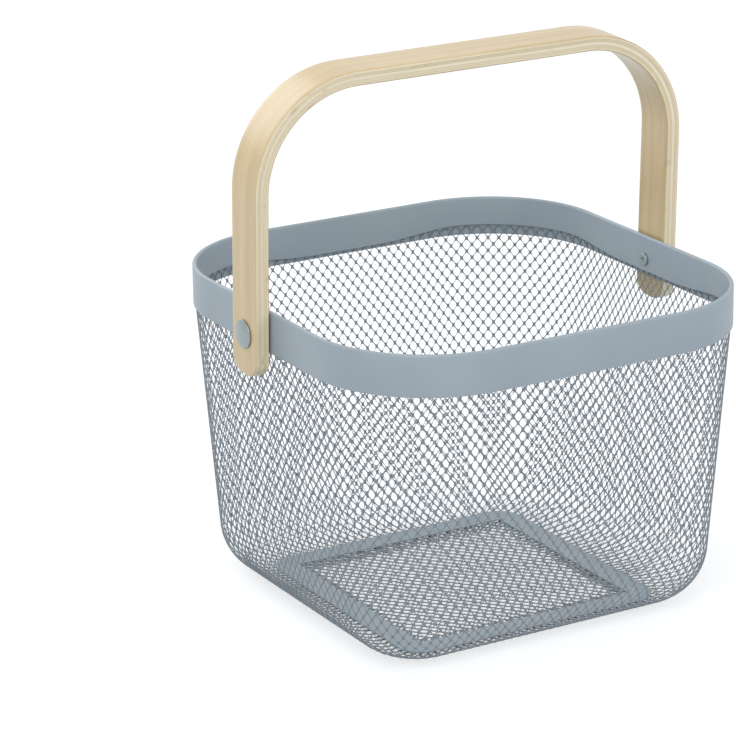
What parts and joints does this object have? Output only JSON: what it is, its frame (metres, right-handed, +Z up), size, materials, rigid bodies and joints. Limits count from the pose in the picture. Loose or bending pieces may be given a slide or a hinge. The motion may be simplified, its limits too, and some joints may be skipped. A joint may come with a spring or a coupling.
{
  "type": "storage basket",
  "caption": "Open-topped tapered storage basket of expanded steel mesh with a folded sheet rim, a framed mesh floor and a swinging bent-plywood carrying handle.",
  "frame": {"origin": "centre of the underside of the floor, on the surface that the basket stands on", "axes": "+Z up; +X along the handle's crossbar and the line of its two pivots; +Y square to the crossbar, away from the side that the raised handle leans to"},
  "size_m": [0.26, 0.245, 0.2948],
  "materials": {
    "painted_sheet": "satin powder coat over steel sheet",
    "painted_mesh": "satin powder coat over expanded steel mesh",
    "face_veneer": "clear lacquered birch veneer",
    "cross_veneer": "clear lacquered birch veneer, cut edge",
    "plated_steel": "nickel plated"
  },
  "bodies": {
    "basket": {"rim_band": "painted_sheet", "wall_mesh": "painted_mesh", "floor_mesh": "painted_mesh", "floor_frame": "painted_sheet", "washer_left": "plated_steel", "washer_right": "plated_steel", "rivet_left": "plated_steel", "rivet_right": "plated_steel"},
    "handle": {"ply_outer_face": "face_veneer", "ply_outer_cross": "cross_veneer", "ply_middle": "face_veneer", "ply_inner_cross": "cross_veneer", "ply_inner_face": "face_veneer"}
  },
  "joints": [
    {"name": "handle_swing", "type": "hinge", "parent": "basket", "child": "handle", "pos_m": [0, 0, 0.162], "axis": [1, 0, 0], "range_deg": [-107, 103]}
  ]
}
